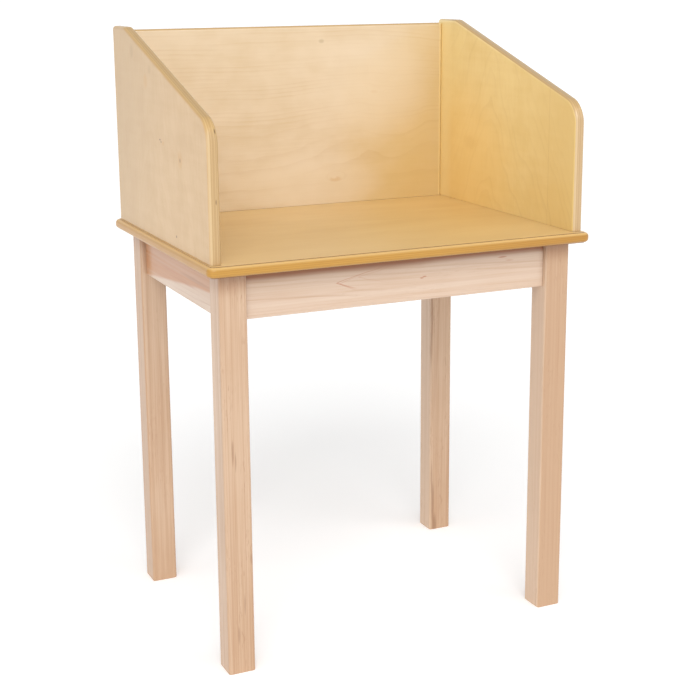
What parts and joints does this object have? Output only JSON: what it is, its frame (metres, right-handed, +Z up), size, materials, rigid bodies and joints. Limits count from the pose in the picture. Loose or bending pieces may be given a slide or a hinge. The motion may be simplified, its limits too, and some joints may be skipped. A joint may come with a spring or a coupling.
{
  "type": "study carrel",
  "caption": "Single-seat study carrel: a four-legged wooden table whose top carries a three-sided plywood privacy screen with sloping sides.",
  "frame": {"origin": "on the floor, under the centre of the tabletop", "axes": "+Z up, +X towards the sitter's right, +Y away from the sitter towards the back panel"},
  "size_m": [0.6096, 0.4572, 0.9144],
  "materials": {
    "birch_top": "clear gloss lacquer on tan birch plywood, rounded edge with its plies showing",
    "birch_screen": "clear satin lacquer on pale birch plywood",
    "maple_leg": "clear satin lacquer on solid maple",
    "maple_apron": "clear satin lacquer on solid maple",
    "maple_block": "unfinished planed maple",
    "beech_dowel": "unfinished turned beech",
    "zinc_steel": "bright zinc plate on steel"
  },
  "bodies": {
    "root": {"back_panel": "birch_screen", "block_screw_front_left_front": "zinc_steel", "block_screw_front_left_left": "zinc_steel", "block_screw_front_right_front": "zinc_steel", "block_screw_front_right_right": "zinc_steel", "block_screw_rear_left_left": "zinc_steel", "block_screw_rear_left_rear": "zinc_steel", "block_screw_rear_right_rear": "zinc_steel", "block_screw_rear_right_right": "zinc_steel", "corner_block_front_left": "maple_block", "corner_block_front_right": "maple_block", "corner_block_rear_left": "maple_block", "corner_block_rear_right": "maple_block", "dowel_left_1": "beech_dowel", "dowel_left_2": "beech_dowel", "dowel_left_3": "beech_dowel", "dowel_right_1": "beech_dowel", "dowel_right_2": "beech_dowel", "dowel_right_3": "beech_dowel", "front_apron": "maple_apron", "front_left_leg": "maple_leg", "front_right_leg": "maple_leg", "hanger_bolt_front_left": "zinc_steel", "hanger_bolt_front_right": "zinc_steel", "hanger_bolt_rear_left": "zinc_steel", "hanger_bolt_rear_right": "zinc_steel", "left_apron": "maple_apron", "left_side_panel": "birch_screen", "nut_front_left": "zinc_steel", "nut_front_right": "zinc_steel", "nut_rear_left": "zinc_steel", "nut_rear_right": "zinc_steel", "panel_screw_back_1": "zinc_steel", "panel_screw_back_2": "zinc_steel", "panel_screw_back_3": "zinc_steel", "panel_screw_left_1": "zinc_steel", "panel_screw_left_2": "zinc_steel", "panel_screw_left_3": "zinc_steel", "panel_screw_right_1": "zinc_steel", "panel_screw_right_2": "zinc_steel", "panel_screw_right_3": "zinc_steel", "rear_apron": "maple_apron", "rear_left_leg": "maple_leg", "rear_right_leg": "maple_leg", "right_apron": "maple_apron", "right_side_panel": "birch_screen", "tabletop": "birch_top", "top_screw_front_left": "zinc_steel", "top_screw_front_right": "zinc_steel", "top_screw_rear_left": "zinc_steel", "top_screw_rear_right": "zinc_steel", "washer_front_left": "zinc_steel", "washer_front_right": "zinc_steel", "washer_rear_left": "zinc_steel", "washer_rear_right": "zinc_steel"}
  },
  "joints": []
}
